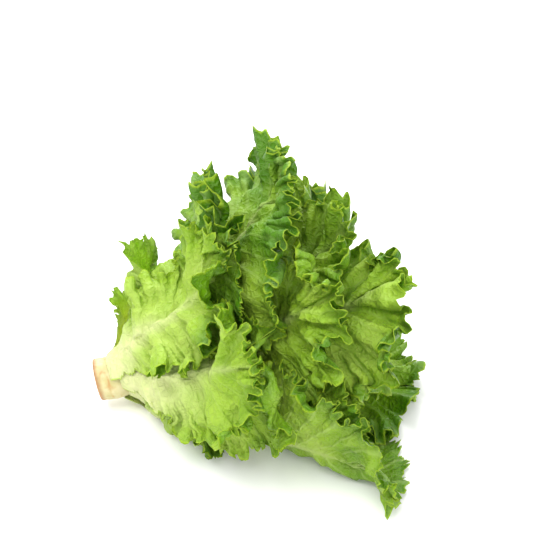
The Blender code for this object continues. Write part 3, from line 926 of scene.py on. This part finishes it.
    @staticmethod
    def denser(points: Array, axis: int) -> Array:
        """The grid with the middles between neighbours added along one axis."""
        points = np.moveaxis(points, axis, 0)
        found = np.empty((2 * len(points) - 1, *points.shape[1:]))
        found[::2] = points
        found[1::2] = (points[:-1] + points[1:]) / 2
        return np.moveaxis(found, 0, axis)

    def numbering(self) -> tuple[Array, Array]:
        """Number of each grid point among the points kept, and which are kept.

        The rib's row is shared by the two halves of the blade, and the inner zone keeps every third column.
        """
        columns, rows = 2 * self.half + 1, len(self.v)
        column, row = np.meshgrid(np.arange(columns), np.arange(rows), indexing="ij")
        coarse = self.v[row] < self.inner_zone
        kept = ~(coarse & (column % self.inner_columns_step != 0))
        kept &= ~((row == 0) & (column > self.half))
        number = np.full(kept.shape, -1)
        number[kept] = np.arange(kept.sum())
        number[self.half + 1:, 0] = number[self.half - 1::-1, 0]
        return number, kept

    @staticmethod
    def cells(number: Array) -> Array:
        """The four corners of each cell of a grid of numbers."""
        corners = (number[:-1, :-1], number[1:, :-1], number[1:, 1:], number[:-1, 1:])
        return np.stack(corners, axis=-1).reshape(-1, 4)

    def faces(self, number: Array) -> tuple[list, list]:
        """Faces of one side of the blade, and the loop of points round it.

        Where the columns become closer, one wide cell meets three narrow ones in a six-sided face.
        """
        step = self.inner_columns_step
        first = int(np.argmax(self.v >= self.inner_zone))
        wide = number[::step, :first]
        above = number[:, first]
        seam = np.stack([
            wide[:-1, -1], wide[1:, -1], above[step::step], above[step - 1::step], above[1:-1:step], above[:-1:step],
        ], axis=-1)
        faces = self.cells(wide).tolist() + seam.tolist() + self.cells(number[:, first:]).tolist()
        loop = np.concatenate([number[:, -1], number[-1, -2::-1], number[0, 1:-1]])
        return faces, loop.tolist()

    def mesh(self, finish: LeafFinish, shift: Array) -> bpy.types.Mesh:
        """The closed blade: outer face, inner face and the strip round them.

        Args:
            finish: Gives the colour of each point.
            shift: From the head's own axes to the row frame.

        Returns:
            The mesh, with its colours, its vein coordinates and its distance from the margin.
        """
        number, kept = self.numbering()
        faces, loop = self.faces(number)
        count = int(kept.sum())
        points = np.concatenate([self.outer[kept], self.inner[kept]]) + shift
        shell = [tuple(face[::-1]) for face in faces]
        shell += [tuple(count + i for i in face) for face in faces]
        shell += [(a, b, b + count, a + count) for a, b in zip(loop, loop[1:] + loop[:1])]
        if self.turned_in(faces, points, count):
            shell = [face[::-1] for face in shell]
        mesh = bpy.data.meshes.new(self.cage.name + "_fine")
        mesh.from_pydata(points.tolist(), [], shell)
        mesh.shade_smooth()
        self.colour(mesh, finish, kept)
        return mesh

    def turned_in(self, faces: list, points: Array, count: int) -> bool:
        """Whether the outer side's faces, taken backwards, would point towards the inner side."""
        quads = np.array([face[:3] for face in faces])
        corners = points[quads]
        normals = np.cross(corners[:, 1] - corners[:, 0], corners[:, 2] - corners[:, 0])
        towards = points[quads[:, 0]] - points[quads[:, 0] + count]
        return float((normals * towards).sum()) > 0.0

    def colour(self, mesh: bpy.types.Mesh, finish: LeafFinish, kept: Array) -> None:
        """Writes the colour of each point and the coordinates that the veins follow."""
        tints = [finish.tint(self, inner_face=side) for side in (False, True)]
        tint = np.concatenate([tints[0][kept], tints[1][kept]])
        layer = mesh.color_attributes.new("Tint", "FLOAT_COLOR", "POINT")
        layer.data.foreach_set("color", np.concatenate([tint, np.ones((len(tint), 1))], axis=1).ravel())
        fan, rows = (grid[kept] for grid in np.broadcast_arrays(self.t[:, None], self.v[None, :]))
        veins = np.stack([fan, rows * 6.0, self.along[kept] * 60], axis=1)
        edge = np.clip(self.inwards / 0.02, 0.0, 1.0)[kept]
        side = np.concatenate([np.zeros(len(edge)), np.ones(len(edge))])
        vector = mesh.attributes.new("Veins", "FLOAT_VECTOR", "POINT")
        vector.data.foreach_set("vector", np.tile(veins, (2, 1)).ravel())
        for name, values in (("Edge", np.tile(edge, 2)), ("Inner", side)):
            mesh.attributes.new(name, "FLOAT", "POINT").data.foreach_set("value", values)


class Nodes:
    """Short hand for a material's node tree."""

    def __init__(self, name: str) -> None:
        """Makes a material and empties its tree."""
        self.material = bpy.data.materials.new(name)
        self.material.use_nodes = True
        self.tree = self.material.node_tree
        self.tree.nodes.clear()

    def add(self, kind: str, inputs: dict | None = None, **settings: object) -> bpy.types.Node:
        """Adds a node.

        Args:
            kind: The node's type, without the word that all types start with.
            inputs: A number, a colour or another node's output for each input, by its name or place.
            settings: Values of the node itself.

        Returns:
            The node.
        """
        node = self.tree.nodes.new("ShaderNode" + kind)
        for name, value in settings.items():
            setattr(node, name, value)
        for name, value in (inputs or {}).items():
            socket = node.inputs[name]
            if isinstance(value, Socket):
                self.tree.links.new(value, socket)
            else:
                socket.default_value = (*value, 1.0) if socket.type == "RGBA" else value
        return node

    def attribute(self, name: str, output: str = "Fac") -> Socket:
        """One of the mesh's own attributes."""
        return self.add("Attribute", attribute_name=name).outputs[output]

    def place(self) -> Socket:
        """The place on the object."""
        return self.add("TexCoord").outputs["Object"]

    def maths(self, operation: str, *values: object) -> Socket:
        """A Math node on numbers or sockets."""
        return self.add("Math", dict(enumerate(values)), operation=operation).outputs[0]

    def ramp(self, source: Socket, low: float, high: float, first: float, last: float) -> Socket:
        """A value that goes smoothly from first to last while the source goes from low to high."""
        inputs = {"Value": source, "From Min": low, "From Max": high, "To Min": first, "To Max": last}
        return self.add("MapRange", inputs, interpolation_type="SMOOTHSTEP").outputs["Result"]

    def mix(self, share: object, first: object, second: object, blend_type: str = "MIX") -> Socket:
        """A Mix node on colours or sockets."""
        return self.add("Mix", {0: share, 6: first, 7: second}, data_type="RGBA", blend_type=blend_type).outputs[2]

    def noise(self, vector: Socket, scale: float, detail: float = 2.0, output: str = "Fac") -> Socket:
        """A noise texture on a vector."""
        return self.add("TexNoise", {"Vector": vector, "Scale": scale, "Detail": detail}).outputs[output]

    def net(self, vector: Socket, scale: float) -> Socket:
        """Distance from the edges of a net of irregular cells."""
        node = self.add("TexVoronoi", {"Vector": vector, "Scale": scale}, feature="DISTANCE_TO_EDGE")
        return node.outputs["Distance"]

    def bump(self, height: Socket, strength: float, distance: float) -> Socket:
        """The surface's direction where it follows a height."""
        return self.add("Bump", {"Strength": strength, "Distance": distance, "Height": height}).outputs[0]

    def finished(self, shader: bpy.types.Node) -> bpy.types.Material:
        """Joins the last shader to the output and gives the material."""
        self.add("OutputMaterial", {"Surface": shader.outputs[0]})
        return self.material


@dataclass(frozen=True)
class LeafFinish:
    """Colours of a leaf, as linear red, green and blue, from its white root to its lime rim."""

    name: str
    root: Colour = (0.80, 0.82, 0.42)
    pale: Colour = (0.52, 0.68, 0.13)
    back: Colour = (0.35, 0.55, 0.030)
    face: Colour = (0.24, 0.46, 0.008)
    deep: Colour = (0.085, 0.24, 0.001)
    rim: Colour = (0.44, 0.62, 0.030)
    scar: Colour = (0.42, 0.24, 0.06)
    vein: Colour = (0.62, 0.72, 0.30)
    mottle: Colour = (0.68, 0.82, 0.45)  # what the darker specks let through
    light_through: Colour = (0.90, 1.0, 0.28)
    roughness: float = 0.43
    gloss: float = 0.36
    rib_width: float = 0.0105
    frill_green_and_shade_reach: float = 0.014  # how far in from the margin the colour is deeper, partly the leaf's own deeper green and partly painted shade in the hollows of the frills, in metres
    patch_widths: tuple = (0.030, 0.012)
    blisters: float = 190.0  # how many meet in a metre

    def tint(self, blade: LeafBlade, inner_face: bool) -> Array:
        """Colour of each point of one side.

        From root to margin the colour goes from white over pale green to the side's green. The rib and the veins that
        leave it stay pale, and random patches are deeper. Near the margin the colour is deeper still, more on the
        inner face: partly the leaf's own deeper green, partly painted shade in the hollows of the frills.

        Args:
            blade: The blade to colour.
            inner_face: Whether it is the side that faces the head's axis.

        Returns:
            Red, green and blue of each column and row.
        """
        look = blade.look
        root, pale, deep = (np.array(colour) for colour in (self.root, self.pale, self.deep))
        run = blade.along / blade.cage.length
        large, small = self.patch_widths
        patches = blade.noise(31, large) + 0.5 * blade.noise(32, small)
        # Near the margin: partly the leaf's own deeper green, partly painted shade in the hollows between the frills
        frilled = np.exp(-((blade.inwards / self.frill_green_and_shade_reach) ** 2))
        deepness = look.depth + 0.48 * patches + 0.35 * (run - 0.6) + (0.62 if inner_face else 0.40) * frilled
        deepness = np.clip(deepness, -1.0, 1.0)
        towards = np.where(deepness[..., None] > 0.0, deep, pale)
        full = blend(np.array(self.face if inner_face else self.back), towards, np.abs(deepness))
        ripe = np.clip(smooth((run + 0.25 * blade.v[None, :] - 0.05) / 0.65) + 0.12 * patches, 0.0, 1.0)
        green = smooth((blade.along + 0.8 * np.abs(blade.across) - 0.25 * look.cream) / (1.3 * look.cream))
        colour = blend(root, blend(pale, full, ripe), green)
        width = self.rib_width * np.clip(1.0 - run, 0.06, 1.0) ** 1.3 + 0.0006
        rib = np.exp(-((blade.across / width) ** 2)) * np.clip(1.15 - run, 0.0, 1.0)
        rib = np.clip(rib, 0.0, 1.0) * (0.75 if inner_face else 0.9)
        colour = blend(colour, blend(root, pale, 0.4 * run), rib)
        for place in look.scars:
            mark = np.exp(-(((blade.along - place) / 0.0022) ** 2 + ((blade.across - 0.001) / 0.0035) ** 2))
            colour = blend(colour, np.array(self.scar), 0.8 * mark)
        return np.clip(colour, 0.0, 1.0)

    def lines(self, n: Nodes, place: Socket) -> tuple[Socket, Socket]:
        """The pale lines of a blade: its side veins, the net between them and the creases between its blisters.

        Args:
            n: The material's nodes.
            place: The place on the object.

        Returns:
            How near each point is to a line, and how far it stands inside a blister.
        """
        veins = n.attribute("Veins", "Vector")
        waves = {"Vector": veins, "Scale": 0.314, "Distortion": 1.6, "Detail": 2.0, "Detail Scale": 0.8}
        fan = n.add("TexWave", waves, wave_type="BANDS", bands_direction="X", wave_profile="SIN").outputs["Fac"]
        bent = n.add("VectorMath", {0: veins, 1: n.noise(veins, 1.3, output="Color")}, operation="ADD").outputs[0]
        shake = {0: n.noise(place, 120.0, output="Color"), 1: (0.006,) * 3, 2: place}
        blisters = n.net(n.add("VectorMath", shake, operation="MULTIPLY_ADD").outputs[0], self.blisters)
        lines = n.ramp(blisters, 0.0, 0.10, 0.55, 0.0)
        for other in (n.ramp(n.net(bent, 1.7), 0.0, 0.09, 0.55, 0.0), n.ramp(fan, 0.90, 1.0, 0.0, 1.0)):
            lines = n.maths("MAXIMUM", lines, other)
        return lines, n.ramp(blisters, 0.0, 0.30, 0.0, 1.0)

    def material(self, look: Look) -> bpy.types.Material:
        """The leaf's material: the painted colour with pale veins, fine mottling and a lime rim.

        Args:
            look: How strong this leaf's veins are and how much light comes through it.

        Returns:
            The material.
        """
        n = Nodes(self.name)
        place = n.place()
        lines, blisters = self.lines(n, place)
        fine, mottle = n.noise(place, 420.0, 3.0), n.noise(place, 90.0, 3.0)
        tint = n.attribute("Tint", "Color")
        colour = n.mix(n.maths("MULTIPLY", lines, look.veins), tint, n.mix(0.55, tint, self.vein))
        darker = n.mix(1.0, colour, self.mottle, "MULTIPLY")
        colour = n.mix(n.ramp(mottle, 0.35, 0.70, 0.0, 0.35), colour, darker)
        colour = n.mix(n.ramp(n.attribute("Edge"), 0.01, 0.12, 0.78, 0.0), colour, self.rim)
        height = n.maths("MULTIPLY", lines, 0.8)
        for share, source in ((0.25, fine), (0.9, mottle), (-0.8, blisters)):
            height = n.maths("MULTIPLY_ADD", source, share, height)
        normal = n.bump(height, 0.55, 0.0012)
        body = n.add("BsdfPrincipled", {
            "Base Color": colour,
            "Roughness": n.ramp(n.attribute("Inner"), 0.0, 1.0, self.roughness + 0.12, self.roughness - 0.06),
            "Specular IOR Level": self.gloss,
            "Normal": normal,
        })
        through = n.mix(1.0, colour, self.light_through, "MULTIPLY")
        glow = n.add("BsdfTranslucent", {"Color": through, "Normal": normal})
        return n.finished(n.add("MixShader", {0: look.see_through, 1: body.outputs[0], 2: glow.outputs[0]}))


@dataclass(frozen=True)
class StemFinish:
    """Colours of the cut stem, as linear red, green and blue."""

    flesh: Colour = (0.56, 0.50, 0.27)
    shaded_flesh: Colour = (0.46, 0.41, 0.17)
    cut_edge: Colour = (0.36, 0.19, 0.07)
    scar_line: Colour = (0.44, 0.22, 0.06)
    pink: Colour = (0.78, 0.42, 0.26)
    core: Colour = (0.62, 0.46, 0.20)
    soft: float = 0.15
    soft_reach: tuple = (0.004, 0.003, 0.0015)

    def material(self) -> bpy.types.Material:
        """Cream flesh, browned on the cut and along the scars, with pink and orange stains."""
        n = Nodes("cut stem flesh")
        place, depth, scar = n.place(), n.attribute("Depth"), n.attribute("Scar")
        broad, fine = n.noise(place, 110.0, 4.0), n.noise(place, 520.0, 4.0)
        colour = n.mix(n.ramp(broad, 0.35, 0.65, 0.0, 1.0), self.flesh, self.shaded_flesh)
        uneven_depth = n.maths("ADD", depth, n.maths("MULTIPLY_ADD", broad, 0.006, -0.003))
        line = n.maths("MULTIPLY", n.ramp(scar, 0.42, 0.62, 0.0, 1.0), n.ramp(scar, 0.62, 0.85, 1.0, 0.0))
        near_cut = n.ramp(depth, 0.002, 0.011, 1.0, 0.0)
        stains = (
            (n.ramp(uneven_depth, 0.0006, 0.0048, 1.0, 0.0), self.cut_edge),
            (n.maths("MULTIPLY", line, n.ramp(broad, 0.40, 0.62, 0.0, 0.8)), self.scar_line),
            (n.maths("MULTIPLY", n.ramp(broad, 0.52, 0.68, 0.0, 0.6), near_cut), self.pink),
            (n.ramp(depth, -0.0011, -0.0002, 0.75, 0.0), self.core),
        )
        for share, stain in stains:
            colour = n.mix(share, colour, stain)
        return n.finished(n.add("BsdfPrincipled", {
            "Base Color": colour,
            "Roughness": n.ramp(fine, 0.3, 0.7, 0.42, 0.62),
            "Subsurface Weight": self.soft,
            "Subsurface Radius": self.soft_reach,
            "Normal": n.bump(n.maths("ADD", fine, broad), 0.5, 0.0006),
        }))


@dataclass
class CutStem:
    """The short stem: a brown-rimmed cut, leaf scars round it, and the core inside the head."""

    head: HeadShape
    sides: int = 144
    ridge_radius: float = 0.017
    scar_depth: float = 0.0011
    bevel: float = 0.0012

    def rings(self) -> Array:
        """Distances from the cut at which the stem has a ring of points."""
        return np.concatenate([np.linspace(0.0, 0.016, 40), np.linspace(0.018, 0.0575, 16)])

    def scars(self, x: Array, phi: Array) -> Array:
        """How deep the old leaf scars are, from 0 to 1: soft hollows a golden angle apart."""
        total = np.zeros(np.broadcast(x, phi).shape)
        for number in range(1, 7):
            away = (phi + math.radians(GOLDEN_ANGLE) * number + math.pi) % (2 * math.pi) - math.pi
            total = total + np.exp(-((away / 0.55) ** 2 + ((x - 0.0022 * number) / 0.0045) ** 2))
        return np.minimum(total, 1.0)

    def surface(self) -> tuple[Array, Array, Array]:
        """Points of the side of the stem, with their distance from the cut and direction round the axis."""
        x = self.rings()[:, None]
        phi = (np.arange(self.sides) / self.sides * 2 * math.pi)[None, :]
        bare = 1.0 - smooth((x - 0.007) / 0.006)
        edge = self.bevel * np.clip(1.0 - x / self.bevel, 0.0, 1.0) ** 1.5
        round_stem, along_stem = np.broadcast_arrays(self.ridge_radius * phi, x)
        ridges = 0.00022 * np.cos(23 * phi + 90 * x) + 0.0003 * noise_sheet(77, round_stem, along_stem, 0.0035)
        radius = self.head.radius(x) - edge - self.scar_depth * bare * self.scars(x, phi)
        radius = radius - bare * np.abs(ridges)
        out = self.head.outwards(phi[0])[None]
        points = self.head.cut + x[..., None] * self.head.along + radius[..., None] * out
        return points, x + 0 * phi, phi + 0 * x

    def mesh(self, shift: Array) -> bpy.types.Mesh:
        """The closed stem, with its cut face dished a little and its colours on the points."""
        points, x, phi = self.surface()
        shares = np.linspace(0.0, 1.0, 14)[:-1]
        rim = points[0]
        middle = self.head.cut
        dish = 0.0008 * (1.0 - shares ** 2) + 0.00025 * np.sin(26 * shares)
        cap = middle + (rim - middle)[None] * shares[:, None, None]
        cap = cap + dish[:, None, None] * self.head.along
        grid = np.concatenate([cap[1:], points])
        count = len(grid) * self.sides
        verts = np.concatenate([grid.reshape(-1, 3), [cap[0, 0], middle + self.head.stem_core * self.head.along]])
        ring = np.arange(len(grid) - 1)[:, None] * self.sides
        side = np.arange(self.sides)
        after = (side + 1) % self.sides
        corners = (ring + after, ring + side, ring + self.sides + side, ring + self.sides + after)
        quads = np.stack(corners, axis=-1).reshape(-1, 4)
        last = (len(grid) - 1) * self.sides
        ends = [(int(b), int(a), count + 1) for a, b in zip(last + side, last + after)]
        ends += [(int(a), int(b), count) for a, b in zip(side, after)]
        mesh = bpy.data.meshes.new("stem_fine")
        mesh.from_pydata((verts + shift).tolist(), [], quads.tolist() + ends)
        mesh.shade_smooth()
        depth = np.concatenate([-0.001 * (1 - np.repeat(shares[1:], self.sides)), x.ravel(), [-0.001, 0.06]])
        hollow = np.concatenate([np.zeros((len(shares) - 1) * self.sides), self.scars(x, phi).ravel(), [0.0, 0.0]])
        for name, values in (("Depth", depth), ("Scar", hollow)):
            mesh.attributes.new(name, "FLOAT", "POINT").data.foreach_set("value", values)
        return mesh


FULL, GOOD = Detail.FULL, Detail.GOOD
LOOKS = {
    "outer_leaf_01": Look(FULL, depth=-0.15, cream=0.036, relief=1.9, frill=1.15, curl_most=0.4, wider=1.13),
    # outer_leaf_02's pale depth is painted light: the glow of light that comes through it from behind, and it also
    # offsets the painted frill shade
    "outer_leaf_02": Look(GOOD, depth=-1.4, cream=0.050, frill=0.65, teeth=1.7, relief=0.7, see_through=0.55),
    "outer_leaf_04": Look(FULL, depth=-0.3, cream=0.080, relief=1.7, veins=0.20, wider=0.95),
    "outer_leaf_06": Look(GOOD, depth=0.60, cream=0.030),
    "outer_leaf_07": Look(
        FULL, depth=0.50, frill=1.35, reach=1.4, wider=1.14, relief=1.3, curl_most=0.5,
    ),
    "outer_leaf_08": Look(
        FULL, depth=0.05, curl_width=0.036, curl_bend=0.012, curl_most=1.95, curl_at=3.5, curl_span=9.0, frill=0.9,
    ),
    "outer_leaf_09": Look(GOOD, depth=0.0, frill=1.2),
    "outer_leaf_10": Look(FULL, depth=0.58, relief=1.7, frill=1.3, reach=1.4, wider=1.16),
    "outer_leaf_11": Look(FULL, depth=0.12, cream=0.095, veins=0.45, relief=1.4, scars=(0.093, 0.123)),
    "outer_leaf_12": Look(
        FULL, depth=0.0, relief=1.5, frill=1.3, reach=1.8, curl_width=0.018, curl_bend=0.015, curl_most=1.8,
    ),
    "outer_leaf_13": Look(GOOD, depth=0.50, wider=1.08),
    "inner_leaf_01": Look(
        FULL, depth=0.20, relief=1.2, frill=1.3, reach=1.8, curl_width=0.016, curl_bend=0.014, curl_most=1.7,
    ),
    "inner_leaf_03": Look(FULL, depth=0.10, frill=1.3, reach=2.0),
    "inner_leaf_04": Look(GOOD, depth=0.65, frill=1.2),
    "inner_leaf_05": Look(FULL, depth=0.10, frill=1.9, reach=1.5, relief=1.6, tucked=1.0),
    "heart_leaf_01": Look(
        FULL, depth=0.0, frill=1.4, reach=2.0, relief=1.2, curl_width=0.018, curl_bend=0.015, curl_most=1.8,
    ),
    "heart_leaf_04": Look(GOOD, depth=0.35, frill=1.3),
}


class Lettuce:
    """The whole head: the stem and every leaf, each in place of its node."""

    def __init__(self) -> None:
        """Settles the cages and works out where the part's own axes lie in the row frame."""
        self.head = HeadShape()
        space = FreeSpace(self.head)
        self.cages = [LeafCage(number, self.head) for number in range(len(OUTER_LEAVES) + INNER_LEAVES)]
        for cage in self.cages:
            cage.settle(space)
        reference = self.cages[0]
        own = np.concatenate(reference.sides)
        low, high = (np.array(corner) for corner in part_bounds(reference.name))
        self.shift = ((low - own.min(0)) + (high - own.max(0))) / 2
        LOG.info("cages settled, off by %.5f m", np.abs(high - low - np.ptp(own, axis=0)).max())

    def build(self, low: Array, high: Array) -> None:
        """Makes every piece and puts it on its body, in place of its node.

        Args:
            low: Lowest corner of the part's box in the row frame.
            high: Highest corner.
        """
        stem = CutStem(self.head)
        self.place("stem", stem.mesh(self.shift), StemFinish().material())
        space = FreeSpace(self.head)
        total = 0
        for cage in self.cages:
            look = LOOKS.get(cage.name, Look())
            blade = LeafBlade(cage, look)
            blade.build(space, low - self.shift, high - self.shift)
            finish = LeafFinish(cage.name.replace("_", " "))
            mesh = blade.mesh(finish, self.shift)
            self.place(cage.name, mesh, finish.material(look))
            triangles = sum(len(face.vertices) - 2 for face in mesh.polygons)
            total += triangles
            LOG.info("%s: %d triangles", cage.name, triangles)
        LOG.info("%d triangles in the leaves", total)

    def place(self, node: str, mesh: bpy.types.Mesh, material: bpy.types.Material) -> None:
        """Makes the piece's object, dresses it, and lets it ride in place of its node."""
        mesh.materials.append(material)
        piece = bpy.data.objects.new(node + "_fine", mesh)
        bpy.context.scene.collection.objects.link(piece)
        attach(piece, "root")
        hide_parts(node)


@dataclass
class Studio:
    """A plain pale floor, soft light from above and a camera at the photograph's angle."""

    azimuth: float = -8.0
    elevation: float = 38.0
    distance: float = 1.3
    lens: float = 114.0
    sensor: float = 36.0
    floor_size: float = 8.0
    floor_tones: tuple = ((0.93,) * 3, (0.95,) * 3)
    sky: float = 0.92
    lit_place: tuple = (0.0, 0.0, 0.05)
    lamps: tuple = (  # name, place, size and power
        ("key", (-0.45, -0.35, 1.25), 1.0, 15.0),
        ("fill", (0.5, -1.3, 0.7), 1.6, 12.0),
        ("back", (-0.1, 1.2, 1.0), 1.0, 26.0),
    )

    def build(self, cut: Array) -> None:
        """Makes the floor, the lights and the camera.

        Args:
            cut: The middle of the stem's cut, in the row frame, which the camera shows at its pixel.
        """
        self.floor()
        self.lights()
        self.camera(cut)
        bpy.context.scene.view_settings.view_transform = "Standard"

    def floor(self) -> None:
        """A large flat sheet of matt white, a shade uneven."""
        half = self.floor_size / 2
        mesh = bpy.data.meshes.new("floor")
        sheet = [(-half, -half, 0), (half, -half, 0), (half, half, 0), (-half, half, 0)]
        mesh.from_pydata(sheet, [], [(0, 1, 2, 3)])
        floor = bpy.data.objects.new("floor", mesh)
        bpy.context.scene.collection.objects.link(floor)
        n = Nodes("floor")
        tone = n.mix(n.noise(n.place(), 2.0), *self.floor_tones)
        mesh.materials.append(n.finished(n.add("BsdfPrincipled", {"Base Color": tone, "Roughness": 0.9})))
        floor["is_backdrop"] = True

    def lights(self) -> None:
        """An even white sky and three large soft lamps: key from the upper left, fill and back light."""
        world = bpy.data.worlds.new("studio")
        world.use_nodes = True
        sky = world.node_tree.nodes["Background"].inputs
        sky["Color"].default_value = (1.0, 1.0, 1.0, 1.0)
        sky["Strength"].default_value = self.sky
        bpy.context.scene.world = world
        for name, place, size, power in self.lamps:
            data = bpy.data.lights.new(name, "AREA")
            data.shape = "DISK"
            data.size = size
            data.energy = power
            lamp = bpy.data.objects.new(name, data)
            lamp.location = place
            lamp.rotation_mode = "QUATERNION"
            lamp.rotation_quaternion = (Vector(self.lit_place) - Vector(place)).to_track_quat("-Z", "Y")
            bpy.context.scene.collection.objects.link(lamp)

    def camera(self, cut: Array) -> None:
        """Looks down at the head at the photograph's angle, with the cut at its pixel."""
        a, e = math.radians(self.azimuth), math.radians(self.elevation)
        look = np.array([-math.sin(a) * math.cos(e), math.cos(a) * math.cos(e), -math.sin(e)])
        right = np.array([math.cos(a), math.sin(a), 0.0])
        up = np.cross(right, look)
        width = self.sensor / self.lens * self.distance
        aside = (CUT_PIXEL[0] / PHOTO_SIDE - 0.5) * width
        above = (0.5 - CUT_PIXEL[1] / PHOTO_SIDE) * width
        aim = cut - aside * right - above * up
        data = bpy.data.cameras.new("camera")
        data.lens = self.lens
        data.sensor_width = self.sensor
        camera = bpy.data.objects.new("camera", data)
        camera.location = Vector(aim - self.distance * look)
        camera.rotation_mode = "QUATERNION"
        camera.rotation_quaternion = Vector(look).to_track_quat("-Z", "Y")
        bpy.context.scene.collection.objects.link(camera)
        bpy.context.scene.camera = camera


def corners() -> list[list[float]]:
    """Lowest and highest corner of what is shown, as plain lists."""
    return [list(corner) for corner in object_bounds()]


def main() -> None:
    """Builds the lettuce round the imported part, then the studio."""
    logging.basicConfig(level=logging.INFO, format="%(name)s: %(message)s")
    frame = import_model()
    LOG.info("%d nodes in the frame", len(frame["nodes"]))
    for old in list(bpy.data.objects):
        if old.type in {"CAMERA", "LIGHT"} or old.name == "Cube":
            bpy.data.objects.remove(old)
    part_box = corners()
    lettuce = Lettuce()
    lettuce.build(*(np.array(corner) for corner in part_box))
    Studio().build(lettuce.head.cut + lettuce.shift)


if __name__ == "__main__":
    main()
